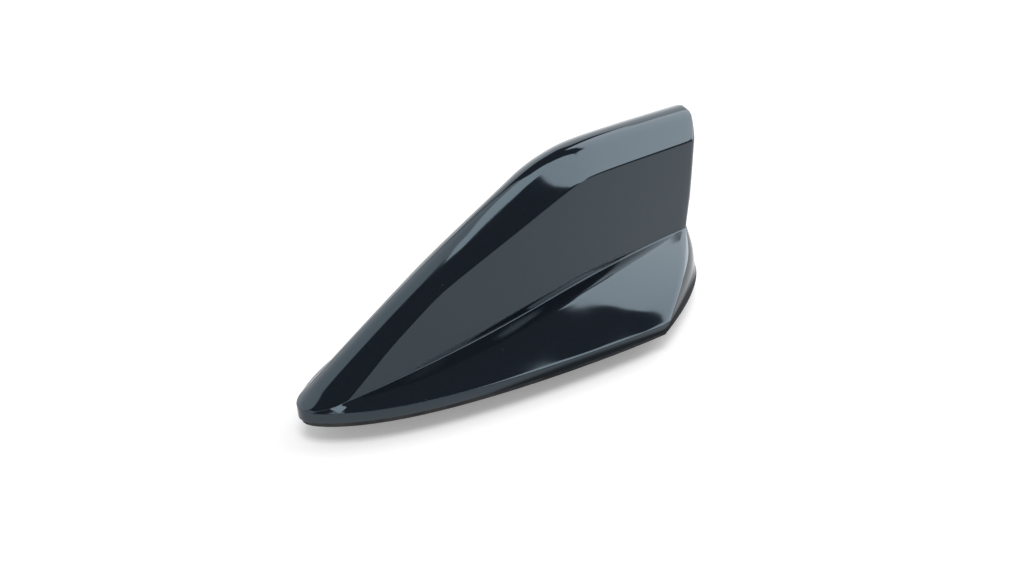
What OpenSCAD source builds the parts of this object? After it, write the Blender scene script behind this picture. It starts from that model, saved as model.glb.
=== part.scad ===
// Roof antenna in a fin-shaped cover: satellite patch, phone blade and radio coil on one board.
// The nose points to -X, the fin's rear edge to +X and the roof side to -Z.
// It stands on the lower face of its fixing foot.

/* [Cover] */
// Length of the cover from nose to tail
cover_l = 151; // [146:1:156]
// Greatest width of the cover
cover_w = 67; // [65:1:72]
// Distance from the nose to the greatest width
widest_x = 108; // [104:1:112]
// Height of the spine's edges where its two slopes meet, over the cover's lower edge
spine_z = 53.8; // [52:0.2:57]
// Distance from the nose to where they meet
bend_x = 85.7; // [83:0.1:88]
// Length over which the bend is rounded
bend_round = 10.5; // [9:0.1:14]
// How far the front slope bows out over a straight line
spine_bow = 1.6; // [1:0.1:2]
// Half width of the spine's flat
spine_hw = 3.4; // [3.2:0.1:4]
// Rise of the spine's crown over its edges
crown_h = 1.3; // [0.8:0.1:1.8]
// Height of the upright band round the lower edge
rim_h = 3; // [2.5:0.25:3.5]
// Wall thickness
cover_t = 2; // [1.6:0.1:2.2]

/* [Side panels] */
// Distance from the nose to the panels' front point
panel_start_x = 9.5; // [8:0.5:12]
// Distance from the tail to the panels' rear end
tail_l = 12.6; // [11:0.2:14]
// Distance from the nose to the turn in the panels' top edge
panel_turn_x = 41; // [38:1:44]
// Height of that turn
panel_turn_z = 25.5; // [24:0.5:27]
// Distance from the nose to the level part of the panels' top edge
panel_level_x = 92; // [88:1:96]
// Height of the level part
panel_top_z = 45.2; // [43:0.2:46]
// Height of the panels' lower edge at the rear
panel_foot_z = 16.7; // [15:0.1:18]
// Half width over the panels at their lower edge
panel_foot_hw = 11.6; // [11.2:0.1:12.5]
// Half width over the panels at their top edge
panel_top_hw = 8.3; // [8:0.1:9]

/* [Base] */
// Thickness of the base plate
plate_t = 1.8; // [1.5:0.1:2]
// Length of the fixing foot
foot_l = 38; // [36:1:42]
// Width of the fixing foot
foot_w = 22; // [21:1:24]
// Distance from the nose to the middle of the foot
foot_x = 88; // [87:0.5:90]
// Depth of the foot under the cover's lower edge
foot_h = 8.5; // [8:0.25:10]
// Radius of the locating pegs
peg_r = 2; // [1.6:0.1:2.4]
// Length of the locating pegs under the plate
peg_l = 4.5; // [4:0.25:5]
// How far a peg's shoulder stands out round it
peg_step = 0.6; // [0.4:0.1:0.8]
// Thickness of the rubber pad
pad_t = 1.5; // [1.2:0.1:1.8]
// How far the pad lies inside the cover's outline
pad_inset = 0.8; // [0.5:0.1:1.2]
// Thickness of the foam ring round the foot
foam_t = 2.2; // [1.8:0.1:2.5]
// Width of the foam ring
foam_w = 4; // [3:0.5:5]

/* [Fixing and sockets] */
// Tapping radius of the fixing thread
thread_r = 2.5; // [2.1:0.1:2.7]
// Wall of the threaded insert
insert_t = 1.5; // [1.2:0.1:1.8]
// Length of the threaded insert
insert_l = 7; // [6:0.5:7.5]
// Distance between the two sockets
socket_pitch = 9; // [8.5:0.5:10]
// Metal between the insert and the socket block
socket_gap = 1.2; // [1:0.1:1.6]
// Radius of a socket's cavity
cavity_r = 3.6; // [3.4:0.1:4]
// Depth of a socket's cavity
cavity_h = 5.5; // [5:0.25:6]
// Outer radius of a socket's metal shell
shell_r = 2.4; // [2.2:0.1:2.6]
// Wall of the shell
shell_t = 0.4; // [0.3:0.1:0.6]
// Radius of a socket's centre contact
contact_r = 0.5; // [0.4:0.05:0.6]

/* [Board] */
// Length of the circuit board
board_l = 78; // [74:1:80]
// Width of the circuit board
board_w = 28; // [27:1:30]
// Thickness of the circuit board
board_t = 1; // [0.8:0.1:1.2]
// Distance from the tail to the board's rear edge
board_x = 27; // [25:0.5:28]
// Height of the standoffs over the plate
standoff_h = 1.2; // [1:0.1:1.4]
// Radius of a standoff
standoff_r = 2.2; // [2:0.1:2.5]
// Radius of a board screw's shank
board_screw_r = 0.9; // [0.8:0.05:1]
// Side of the square satellite patch
patch_w = 18; // [17:0.5:18]
// Thickness of the patch
patch_t = 4; // [3.5:0.1:4]
// Distance from the board's front edge to the middle of the patch
patch_x = 30; // [29:0.5:31]
// Thickness of the tape under the patch
tape_t = 0.2; // [0.15:0.05:0.3]
// Length of the shield can
can_l = 15; // [13:0.5:15]
// Width of the shield can
can_w = 18; // [16:0.5:20]
// Height of the shield can
can_h = 3; // [2.5:0.1:3.5]
// Distance from the board's ends to the nearest chips
chip_in = 9; // [8.5:0.25:10]
// Distance from those chips to the next
chip_step = 6; // [5.5:0.25:7]
// Side of the largest chip
chip_w = 6; // [5:0.25:6]
// Height of the largest chip
chip_h = 1.4; // [1:0.1:1.6]

/* [Fin aerials] */
// Length of the phone blade's foot along the board
blade_l = 14; // [12:0.5:15]
// Thickness of the phone blade
blade_t = 0.8; // [0.5:0.1:1]
// Air between the blade or the roof plate and the cover's inside
air_gap = 2; // [1.5:0.1:2.5]
// Length of the roof plate under the spine
roof_l = 44; // [40:1:46]
// Distance from the tail to the roof plate's rear end
roof_tail = 19; // [18:1:21]
// Half width of the roof plate's flat top
roof_hw = 1.8; // [1.6:0.1:2]
// Height of the roof plate's side wings
wing_h = 7; // [6:0.25:8]
// Sheet thickness of the roof plate
roof_t = 0.4; // [0.3:0.05:0.5]
// Thickness of the foam strip on the roof plate
strip_t = 1.2; // [1:0.1:1.5]
// Thickness of the carrier's web
web_t = 2; // [1.6:0.1:2.4]
// Radius of the coil former
former_r = 3; // [2.6:0.1:3.2]
// Radius of the coil's wire
wire_r = 0.35; // [0.3:0.05:0.4]
// Turns of the coil
coil_turns = 9; // [7:1:11]
// Rise of one turn
coil_pitch = 1.9; // [1.6:0.1:2]
// Distance from the board's rear edge to the middle of the coil
coil_in = 10; // [9.5:0.25:11]
// Height of the coil over the board
coil_z = 7; // [6:0.5:8]
// Length of the former outside the coil at each end
former_end = 2.5; // [2:0.25:3]

/* [Screws] */
// Radius of a cover screw's shank
cover_screw_r = 1.1; // [1:0.05:1.2]
// Radius of a cover screw's head
cover_head_r = 2.4; // [2.2:0.1:2.6]
// Height of a cover screw's head
cover_head_h = 1.2; // [1:0.1:1.2]
// Radius of the cover's screw bosses
boss_r = 3; // [2.8:0.1:3.4]

/* [Hidden] */
$fn = 48;

// clearances
fit = 0.1;
slip = 0.3;
seat = 0.2;

// columns of the cover's surface along one side and round one half of the rear
side_n = 26;
rear_n = 9;
half_n = side_n + rear_n;

// heights over the cover's lower edge
board_z = plate_t + standoff_h;
board_top = board_z + board_t;
board_end = cover_l - board_x;
board_start = board_end - board_l;
patch_at = board_start + patch_x;
patch_z = board_top + tape_t;
pad_low = -pad_t;

function mix(a, b, s) = a + (b - a) * s;

// a line that turns from slope s1 to slope s2 at (x0, z0), rounded over r
function turned(x, x0, z0, s1, s2, r) =
    z0 + (s1 + s2) / 2 * (x - x0) + (s2 - s1) / 2 * sqrt(pow(x - x0, 2) + r * r);

// the larger of two values, rounded over r
function larger(a, b, r) = (a + b + sqrt(pow(a - b, 2) + r * r)) / 2;

// grows like a quarter circle from 0 to 1 over r
function nose_round(x, r) = sqrt(max(0, 1 - pow(1 - min(max(x, 0) / r, 1), 2)));

// half width of the cover's outline at station x
function outline_hw(x) =
    let (u = (x - widest_x) / (cover_l - widest_x), v = max(0, 1 - x / widest_x))
    cover_w / 2 * (x < widest_x ? sqrt(max(0, 1 - pow(v, 1.3))) * (1 - 0.26 * exp(-max(0, x) / 9))
        : pow(max(0, 1 - pow(u, 1.45)), 1 / 1.45));

// spine: its edge and its crown
nose_z = rim_h + 0.5;
function spine_edge_z(x) = let (w = min(1, max(0, x / bend_x)))
    turned(x, bend_x, spine_z, (spine_z - nose_z) / bend_x, -0.008, bend_round)
    + 4 * spine_bow * w * (1 - w);
function spine_edge_hw(x) = turned(x, bend_x, spine_hw, 0, 0.008, 20) * nose_round(x, 3);
function spine_rise(x) = crown_h * min(1, 0.35 + x / 8);

// side panel: lower edge and top edge
panel_end_x = cover_l - tail_l;
panel_start_z = rim_h + 1.4;
function panel_foot(x) =
    let (u = (x - panel_start_x) / (panel_end_x - panel_start_x))
    u < 0 ? mix(rim_h + 0.25, panel_start_z, x / panel_start_x)
        : panel_start_z + (panel_foot_z - panel_start_z) * pow(sin(90 * min(u, 1)), 1.45);
function panel_foot_half(x) =
    turned(x, 64, panel_foot_hw, 0.085, -0.008, 15) * nose_round(x, 9);
function panel_top(x) =
    let (s1 = (panel_turn_z - panel_start_z) / (panel_turn_x - panel_start_x),
        s2 = (panel_top_z - panel_turn_z) / (panel_level_x - panel_turn_x),
        z1 = turned(x, panel_turn_x, panel_turn_z, s1 + 0.02, s2, 4),
        z2 = turned(x, panel_level_x, panel_top_z, s2, 0, 4))
    larger(x < (panel_turn_x + panel_level_x) / 2 ? z1 : z2, panel_foot(x) + 0.1, 0.2);
// at the front the panel leans evenly, further back its top edge has its own width
function panel_top_half(x) =
    mix(panel_foot_half(x) - 0.2 * (panel_top(x) - panel_foot(x)),
        turned(x, 70, panel_top_hw, 0.045, 0, 12), ease(x, panel_start_x + 8, panel_start_x + 22));

// grows smoothly from 0 to 1 between two values
function ease(x, low, high) = let (s = min(1, max(0, (x - low) / (high - low)))) s * s * (3 - 2 * s);

// rear end: how far the surface reaches back at height z
fin_back_x = cover_l - 6.2;
fin_rise = 12;
function back_x(z) = z < panel_foot_z
    ? mix(cover_l, fin_back_x, 1 - pow(1 - max(0, z) / panel_foot_z, 1.66))
    : fin_back_x + 0.035 * (z - panel_foot_z) - 0.045 * pow(max(0, z - spine_z + 6), 2);

// the skirt is hollow under the panels and full below, and straight along its rear crease
function skirt_power(t) = mix(mix(1.35, 1.9, min(1, t * 1.1)), 1.15, ease(t, 0.86, 1));
function skirt_fall(s, n) = mix(1 - s, pow(1 - pow(s, n), 1 / n), mix(0.55, 1, min(1, 2 * s)));
function skirt_swell(t) = 2 * ease(t, 0.76, 1);
crease_x = widest_x - 2;

// points of one section, from the crown down to the lower edge
skirt_steps = [0.12, 0.35, 0.6, 0.8, 0.93];
function section(t) =
    let (q = pow(t, 1.6),
        x0 = mix(1.2, cover_l - 8.4, q), x1 = mix(0.15, cover_l - 6.8, q),
        x2 = mix(0.1, cover_l - 10.4, q), x3 = mix(0.06, panel_end_x, q),
        x4 = mix(0, crease_x, q),
        a = [x1, spine_edge_hw(x1), spine_edge_z(x1)],
        b = [x2, panel_top_half(x2), panel_top(x2)],
        c = [x3, panel_foot_half(x3), panel_foot(x3)],
        d = [x4, outline_hw(x4), rim_h],
        n = skirt_power(t), swell = skirt_swell(t))
    [
        [x0, 0, spine_edge_z(x0) + spine_rise(x0)],
        [mix(x0, x1, 0.55), a[1] * 0.55, spine_edge_z(mix(x0, x1, 0.55)) + spine_rise(x0) * 0.7],
        a,
        mix(a, b, 0.5) + [0, 0.35 * min(1, x1 / 10), 0.15],
        b,
        c,
        for (s = skirt_steps)
            [mix(c[0], d[0], s), mix(c[1], d[1], s) + swell * sin(180 * s),
                rim_h + (c[2] - rim_h) * skirt_fall(s, n)],
        d,
        [x4, d[1], 0]
    ];

// the same section drawn a wall thickness inside
inner_start = 7;
inner_edge_z = plate_t + 0.2;
function inner_section(t, w) =
    let (q = pow(t, 1.4),
        x1 = mix(inner_start + 1, cover_l - 8.8 - w, q), x2 = mix(inner_start + 0.4, cover_l - 10.8 - w, q),
        x3 = mix(inner_start + 0.2, panel_end_x - w * 0.9, q), x4 = mix(inner_start, crease_x - w, q),
        g = nose_round(x1 - inner_start, 4),
        a = [x1, max(0.8, spine_edge_hw(x1) - 0.6 * w) * g, spine_edge_z(x1) - 1.3 * w],
        b = [x2, (panel_top_half(x2) - 1.15 * w) * g, min(panel_top(x2) - 0.3 * w, a[2] - 0.5)],
        c = [x3, (panel_foot_half(x3) - 1.1 * w) * g, max(panel_foot(x3) - w, inner_edge_z + 0.3)],
        d = [x4, (outline_hw(x4) - w * (1 + 3 / (3 + x4))) * nose_round(x4 - inner_start, 4), inner_edge_z],
        n = skirt_power(t), swell = skirt_swell(t))
    [
        [x1, 0, spine_edge_z(x1) + spine_rise(x1) - 1.25 * w],
        a,
        b,
        c,
        for (s = [0.3, 0.6, 0.85])
            [mix(c[0], d[0], s), mix(c[1], d[1], s) + swell * sin(180 * s),
                inner_edge_z + (c[2] - inner_edge_z) * skirt_fall(s, n)],
        d,
        [x4, d[1], 0]
    ];

// carries one edge of the surface round the rear, at its own height: low is 1 at the rim and
// 0 at the panels' foot, high is 1 on the fin
function round_rear(p, tip, low, high) =
    let (turn = mix(mix(22, 20, low), 2, high),
        hold = mix(mix(0.16, 0.53, pow(low, 0.6)), 0.6, high) * (tip - p[0]),
        q = [p[0] + hold * cos(turn), p[1] - hold * sin(turn)],
        w = p[1] * mix(mix(0.64, 0.39, low), 0.5, high))
    [
        for (i = [1 : rear_n])
            let (s = i / rear_n, a = pow(1 - s, 3), b = 3 * s * pow(1 - s, 2), c = 3 * s * s * (1 - s))
            [a * p[0] + b * q[0] + (c + pow(s, 3)) * tip, i == rear_n ? 0 : a * p[1] + b * q[1] + c * w, p[2]]
    ];

// one row of the surface: left side from nose to tail, then back along the right
function ring(rows, r, inset) =
    let (last = rows[side_n][r], z = last[2], foot = panel_foot_z - inset,
        low = ease(foot - z, 0, foot - rim_h), high = ease(z - foot, 0, fin_rise),
        half = concat([for (i = [0 : side_n]) let (p = rows[i][r]) i == 0 ? [p[0], 0, p[2]] : p],
            r == 0 ? [for (i = [1 : rear_n]) last] : round_rear(last, back_x(z) - inset, low, high)))
    concat([for (p = half) [p[0], -p[1], p[2]]], [for (i = [half_n - 1 : -1 : 1]) half[i]]);

function skin(rows, inset) = [for (r = [0 : len(rows[0]) - 1]) ring(rows, r, inset)];

// number of the point k of row r, where the first row folds onto one line
ring_n = 2 * half_n;
function folded(k) = min(k > half_n ? ring_n - k : k, side_n);
function pid(r, k, base) = base + r * ring_n + (r == 0 ? folded(k % ring_n) : k % ring_n);
function band(r, base, out) = [
    for (k = [0 : ring_n - 1])
        let (a = pid(r, k, base), b = pid(r, k + 1, base),
            c = pid(r + 1, k, base), d = pid(r + 1, k + 1, base))
        for (f = out ? [[a, d, c], [a, b, d]] : [[a, c, d], [a, d, b]])
            if (f[0] != f[1] && f[1] != f[2] && f[0] != f[2]) f
];

outer_rows = [for (i = [0 : side_n]) section(i / side_n)];
outer_skin = skin(outer_rows, 0);
inner_skin = skin([for (i = [0 : side_n]) inner_section(i / side_n, cover_t)], cover_t);
// halfway through the wall, where the screw bosses end
middle_skin = skin([for (i = [0 : side_n]) inner_section(i / side_n, cover_t / 2)], cover_t / 2);

function all_points(rows) = [for (row = rows) for (p = row) p];
function all_bands(rows, base, out) = [for (r = [0 : len(rows) - 2]) for (f = band(r, base, out)) f];

// form of one skin closed by its lower face
module skin_form(rows) {
    low = (len(rows) - 1) * ring_n;
    polyhedron(points = all_points(rows),
        faces = concat(all_bands(rows, 0, true), [[for (k = [0 : ring_n - 1]) low + k]]));
}

// shell between the outer and the inner skin, open below
module shell_form() {
    base = len(outer_skin) * ring_n;
    low = base - ring_n;
    inner_low = base + (len(inner_skin) - 1) * ring_n;
    edge = [
        for (k = [0 : ring_n - 1])
            let (n = (k + 1) % ring_n)
            for (f = [[low + k, inner_low + n, inner_low + k], [low + k, low + n, inner_low + n]]) f
    ];
    polyhedron(points = concat(all_points(outer_skin), all_points(inner_skin)),
        faces = concat(all_bands(outer_skin, 0, true), all_bands(inner_skin, base, false), edge));
}

// places the part's middle over the origin, standing on the foot
module placed() {
    translate([-cover_l / 2, 0, foot_h]) children();
}

// cylinder with its lower end at z
module post(x, y, z, r, h) {
    translate([x, y, z]) cylinder(r = r, h = h);
}

// block centred on x and y with its lower face at z
module block(x, y, z, l, w, h) {
    translate([x - l / 2, y - w / 2, z]) cube([l, w, h]);
}

// block with round ends
module stadium(x, z, l, w, h) {
    block(x, 0, z, l - w, w, h);
    post(x - (l - w) / 2, 0, z, w / 2, h);
    post(x + (l - w) / 2, 0, z, w / 2, h);
}

// flat outline in X and Z, as a web of thickness w about the middle plane
module web(points, w) {
    translate([0, w / 2, 0]) rotate([90, 0, 0]) linear_extrude(w) polygon(points);
}

// half of the cover's outline in plan, from the nose to the tail
function half_outline(n) = concat(
    [for (i = [0 : n]) let (x = crease_x * (1 - cos(90 * i / n))) [x, outline_hw(x)]],
    [for (p = round_rear([crease_x, outline_hw(crease_x), 0], cover_l, 1, 0)) [p[0], p[1]]]);

// the whole outline, drawn in by d
function outline_points(d, n) =
    let (half = [for (p = half_outline(n))
        [d + p[0] * (cover_l - 2 * d) / cover_l, p[1] * (cover_w - 2 * d) / cover_w]])
    concat([for (p = half) [p[0], -p[1]]], [for (i = [len(half) - 2 : -1 : 1]) half[i]]);

// places of the screws and pegs
screw_in = 5;
cover_screw_at = [[22, 0], [60, -18.4], [60, 18.4], [112, -19], [112, 19]];
board_screw_at = [for (x = [board_start + screw_in, board_end - screw_in]) for (y = [-1, 1])
    [x, y * (board_w / 2 - screw_in)]];
peg_at = [foot_x - 36, foot_x + 36];
screw_depth = 3;

module fin_cover() {
    color("#101318") placed() {
        shell_form();
        difference() {
            intersection() {
                for (p = cover_screw_at) post(p[0], p[1], plate_t, boss_r, spine_z);
                skin_form(middle_skin);
            }
            for (p = cover_screw_at) post(p[0], p[1], plate_t - 1, cover_screw_r + fit, screw_depth + 1.2);
        }
    }
}

module seal_pad() {
    color("#17181a") placed() difference() {
        union() {
            translate([0, 0, -pad_t]) linear_extrude(pad_t) polygon(outline_points(pad_inset, 24));
            translate([0, 0, -pad_t - 0.6]) linear_extrude(0.6) difference() {
                polygon(outline_points(pad_inset + 1.5, 24));
                polygon(outline_points(pad_inset + 3, 24));
            }
        }
        stadium(foot_x, -pad_t - 1, foot_l + 2 * slip, foot_w + 2 * slip, pad_t + 2);
        for (x = peg_at) post(x, 0, -pad_t - 1, peg_r + peg_step + slip, pad_t + 2);
        for (p = cover_screw_at) post(p[0], p[1], -pad_t - 1, cover_head_r + slip, pad_t + 2);
    }
}

module foot_seal() {
    color("#2b2c2e") placed() difference() {
        stadium(foot_x, -pad_t - foam_t, foot_l + 2 * slip + 2 * foam_w,
            foot_w + 2 * slip + 2 * foam_w, foam_t);
        stadium(foot_x, -pad_t - foam_t - 1, foot_l + 2 * slip, foot_w + 2 * slip, foam_t + 2);
    }
}

// socket block in the foot's rear half, threaded insert in its front half
insert_x = foot_x - foot_l / 2 + foot_w / 2;
socket_l = 2 * cavity_r + socket_pitch + 2;
socket_w = 2 * cavity_r + 3;
socket_x = insert_x + thread_r + insert_t + socket_gap + socket_l / 2;
socket_at = [socket_x - socket_pitch / 2, socket_x + socket_pitch / 2];
socket_roof = -0.5;
plate_inset = cover_t + 1.6;

module base_plate() {
    color("#8d9094") placed() difference() {
        union() {
            linear_extrude(plate_t) intersection() {
                polygon(outline_points(plate_inset, 24));
                translate([11, -cover_w / 2]) square([cover_l - 19, cover_w]);
            }
            stadium(foot_x, -foot_h, foot_l, foot_w, foot_h);
            for (x = peg_at) {
                post(x, 0, -peg_l, peg_r, peg_l);
                post(x, 0, -pad_t, peg_r + peg_step, pad_t);
            }
            for (p = board_screw_at) post(p[0], p[1], plate_t, standoff_r, standoff_h);
        }
        for (p = cover_screw_at) post(p[0], p[1], -1, cover_screw_r + slip, plate_t + 2);
        for (p = board_screw_at) post(p[0], p[1], 0.4, board_screw_r + fit, board_z);
        post(insert_x, 0, -foot_h - 1, thread_r + insert_t + fit, insert_l + 1);
        block(socket_x, 0, -foot_h - 1, socket_l + 2 * fit, socket_w + 2 * fit, foot_h + 1 + socket_roof);
        for (x = socket_at) post(x, 0, socket_roof - 1, contact_r + 0.7, plate_t + 2);
    }
}

module fixing_insert() {
    color("#b8963f") placed() translate([insert_x, 0, -foot_h]) difference() {
        cylinder(r = thread_r + insert_t, h = insert_l);
        translate([0, 0, -1]) cylinder(r = thread_r, h = insert_l + 2);
    }
}

module socket_block() {
    color("#d8d6cc") placed() difference() {
        block(socket_x, 0, -foot_h, socket_l, socket_w, foot_h + socket_roof);
        for (x = socket_at) {
            post(x, 0, -foot_h - 1, cavity_r, cavity_h + 1);
            post(x, 0, -foot_h, contact_r + fit, foot_h);
        }
    }
}

module socket_shells() {
    color("#c9b26a") placed() for (x = socket_at)
        translate([x, 0, 0.5 - foot_h]) difference() {
            cylinder(r = shell_r, h = cavity_h - 0.5);
            translate([0, 0, -1]) cylinder(r = shell_r - shell_t, h = cavity_h + 1);
        }
}

module socket_pins() {
    color("#c9b26a") placed() for (x = socket_at)
        post(x, 0, 1.5 - foot_h, contact_r, foot_h - 1.5 + board_z);
}

// the patch and its feed, set off the middle
feed_x = patch_at + 2;
feed_r = 0.4;

module main_board() {
    color("#1f5a3a") placed() difference() {
        block((board_start + board_end) / 2, 0, board_z, board_l, board_w, board_t);
        for (p = board_screw_at) post(p[0], p[1], board_z - 1, board_screw_r + slip, board_t + 2);
        post(feed_x, 0, board_z - 1, feed_r + fit, board_t + 2);
    }
}

module patch_tape() {
    color("#e6e2d4") placed() difference() {
        block(patch_at, 0, board_top, patch_w - 1, patch_w - 1, tape_t);
        post(feed_x, 0, board_top - 1, feed_r + fit, tape_t + 2);
    }
}

module gps_patch() {
    color("#cfc6ae") placed() difference() {
        block(patch_at, 0, patch_z, patch_w, patch_w, patch_t);
        post(feed_x, 0, patch_z - 1, feed_r + fit, patch_t + 2);
    }
}

module patch_feed_pin() {
    color("#c8c8c4") placed() {
        post(feed_x, 0, board_z - 0.5, feed_r, patch_z + patch_t - board_z + 0.5);
        post(feed_x, 0, patch_z + patch_t, 1.1, 0.3);
    }
}

// the coil stands near the board's rear edge, and the can midway between it and the patch
coil_x = board_end - coil_in;
carrier_x = coil_x - 10;
can_x = (patch_at + patch_w / 2 + carrier_x) / 2;
can_wall = 0.3;

module amplifier_shield() {
    color("#b9bcbf") placed() difference() {
        block(can_x, 0, board_top, can_l, can_w, can_h);
        block(can_x, 0, board_top - 1, can_l - 2 * can_wall, can_w - 2 * can_wall, can_h + 1 - can_wall);
    }
}

// chips and filters: end of the board, row, offset as a share of the board's width, and length,
// width and height as shares of the largest
parts_at = [
    [0, 0, 0.2, [0.67, 0.5, 0.65]], [0, 0, -0.2, [0.5, 0.5, 0.57]],
    [0, 1, 0.21, [0.33, 0.2, 0.57]], [0, 1, -0.21, [0.33, 0.2, 0.57]],
    [1, 1, 0.3, [1, 1, 0.7]], [1, 1, -0.3, [0.83, 0.83, 0.7]],
    [1, 0, 0.3, [0.53, 0.42, 0.86]], [1, 0, -0.3, [0.67, 0.5, 1]]
];

module board_components() {
    color("#2a2b2d") placed() for (p = parts_at) {
        d = chip_in + p[1] * chip_step;
        block(p[0] == 0 ? board_start + d : board_end - d, p[2] * board_w, board_top,
            p[3][0] * chip_w, p[3][1] * chip_w, p[3][2] * chip_h);
    }
}

// height of the cover's inside over the middle of the spine
function ceiling(x) = spine_edge_z(x) - 1.3 * cover_t + 0.2;

blade_x = board_start + 3;

module phone_blade() {
    top = [for (i = [6 : -1 : 0]) let (x = blade_x + blade_l * i / 6) [x, ceiling(x) - air_gap]];
    color("#c7c4b8") placed() difference() {
        web(concat([[blade_x, board_top], [blade_x + blade_l, board_top]], top), blade_t);
        for (z = [10, 16]) block(blade_x + blade_l - 4.5, 0, board_top + z, 10, 2 * blade_t, 1.2);
    }
}

// roof plate under the spine, its foam strip and the carrier with the coil
roof_x = cover_l - roof_tail - roof_l;
roof_z = ceiling(roof_x) - seat - strip_t;
wing_flare = 0.5;
coil_l = coil_turns * coil_pitch;
coil_low = board_top + coil_z;
former_l = coil_l + 2 * former_end;
former_low = coil_low - former_end;

module top_load_plate() {
    k = roof_t * sqrt(1 + wing_flare * wing_flare);
    b = roof_hw + wing_flare * wing_h;
    c = roof_hw + wing_flare * roof_t - k;
    color("#bdbfc0") placed() translate([roof_x, 0, roof_z]) rotate([90, 0, 90])
        linear_extrude(roof_l) polygon([[-b, -wing_h], [-roof_hw, 0], [roof_hw, 0], [b, -wing_h],
            [b - k, -wing_h], [c, -roof_t], [-c, -roof_t], [k - b, -wing_h]]);
}

module foam_strip() {
    x1 = roof_x + roof_l;
    top = [for (i = [10 : -1 : 0]) let (x = mix(roof_x, x1, i / 10)) [x, ceiling(x) - seat]];
    color("#3a3b3d") placed() web(concat([[roof_x, roof_z], [x1, roof_z]], top), 2 * roof_hw - 0.4);
}

module antenna_carrier() {
    x0 = carrier_x;
    x1 = roof_x + roof_l - 1;
    top = roof_z - roof_t;
    color("#2f3133") placed() difference() {
        union() {
            web([[x0, board_top], [coil_x + 9, board_top], [x1, board_top + 10], [x1, top],
                [roof_x + 2, top], [roof_x + 2, top - 4], [x0, top - 14]], web_t);
            block(coil_x - 0.5, 0, board_top, 19, 2 * former_r - 0.8, 1.2);
        }
        block(coil_x, 0, former_low, 2 * former_r + 7, 2 * web_t, former_l);
        block(x1 - 5, 0, former_low + 6, 4, 2 * web_t, top - former_low - 12);
    }
}

module coil_former() {
    color("#e3ded0") placed() post(coil_x, 0, former_low, former_r, former_l);
}

// wire wound round the former, with a straight lead at each end
turn_n = 12;
wound_r = former_r + wire_r + 0.05;
lead_top = roof_z - wing_h + 2;
wire_path = concat(
    [[coil_x, -wound_r, board_top + 0.05], [coil_x, -wound_r, coil_low - 0.6]],
    [for (i = [0 : coil_turns * turn_n])
        [coil_x + wound_r * sin(360 * i / turn_n), -wound_r * cos(360 * i / turn_n),
            coil_low + coil_l * i / (coil_turns * turn_n)]],
    [[coil_x, -wound_r, coil_low + coil_l + 0.6], [coil_x, -wound_r, lead_top]]);

function unit(v) = v / norm(v);
function wire_ring(i, n) =
    let (last = len(wire_path) - 1,
        t = unit(wire_path[min(i + 1, last)] - wire_path[max(i - 1, 0)]),
        out = unit([wire_path[i][0] - coil_x, wire_path[i][1], 0]),
        side = unit(cross(t, out)), up = cross(side, t))
    [for (k = [0 : n - 1]) wire_path[i] + wire_r * (cos(360 * k / n) * up + sin(360 * k / n) * side)];

module radio_coil() {
    n = 6;
    m = len(wire_path);
    rings = [for (i = [0 : m - 1]) each wire_ring(i, n)];
    walls = [for (i = [0 : m - 2]) for (k = [0 : n - 1])
        let (a = i * n + k, b = i * n + (k + 1) % n)
        for (f = [[a, b, b + n], [a, b + n, a + n]]) f];
    color("#b5713a") placed() polyhedron(points = rings, faces = concat(walls,
        [[for (k = [n - 1 : -1 : 0]) k], [for (k = [0 : n - 1]) (m - 1) * n + k]]));
}

module board_screws() {
    color("#a9abad") placed() for (p = board_screw_at) {
        post(p[0], p[1], 0.8, board_screw_r, board_top - 0.8);
        post(p[0], p[1], board_top, board_screw_r * 2, 1);
    }
}

module cover_screws() {
    color("#a9abad") placed() for (p = cover_screw_at) {
        post(p[0], p[1], 0, cover_screw_r, plate_t + screw_depth);
        post(p[0], p[1], -cover_head_h, cover_head_r, cover_head_h);
    }
}

fin_cover();
seal_pad();
foot_seal();
base_plate();
fixing_insert();
socket_block();
socket_shells();
socket_pins();
main_board();
gps_patch();
patch_tape();
patch_feed_pin();
amplifier_shield();
board_components();
phone_blade();
antenna_carrier();
coil_former();
radio_coil();
top_load_plate();
foam_strip();
board_screws();
cover_screws();
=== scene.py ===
"""Dresses the roof antenna: the gloss cover, the rubber and metal under it, and the board inside it."""

import logging  # noqa: E402
import math  # noqa: E402
from dataclasses import dataclass, field  # noqa: E402
from enum import Enum  # noqa: E402
from typing import Sequence  # noqa: E402

import bmesh  # noqa: E402
import bpy  # noqa: E402
from mathutils import Matrix, Vector  # noqa: E402

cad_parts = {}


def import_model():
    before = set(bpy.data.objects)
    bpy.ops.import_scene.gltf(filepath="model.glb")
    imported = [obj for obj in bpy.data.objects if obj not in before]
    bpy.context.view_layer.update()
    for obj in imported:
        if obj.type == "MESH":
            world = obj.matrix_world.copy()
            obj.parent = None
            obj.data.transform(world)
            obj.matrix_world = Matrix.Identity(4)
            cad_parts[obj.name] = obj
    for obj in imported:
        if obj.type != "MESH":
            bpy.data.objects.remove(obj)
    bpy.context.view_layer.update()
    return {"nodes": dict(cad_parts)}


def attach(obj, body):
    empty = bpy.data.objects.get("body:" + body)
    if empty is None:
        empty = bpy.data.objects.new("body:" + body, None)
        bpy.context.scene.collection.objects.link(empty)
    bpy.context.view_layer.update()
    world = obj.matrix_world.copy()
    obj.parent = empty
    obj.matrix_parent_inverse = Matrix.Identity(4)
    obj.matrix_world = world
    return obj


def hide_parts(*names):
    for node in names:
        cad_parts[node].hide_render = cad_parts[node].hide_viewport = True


LOG = logging.getLogger("roof_antenna")
MM = 0.001
HALF_LENGTH = 75.5
EDGE_HEIGHT = 8.5
Point = tuple[float, float, float]
Colour = tuple[float, float, float, float]
WHITE: Colour = (1.0, 1.0, 1.0, 1.0)


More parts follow.
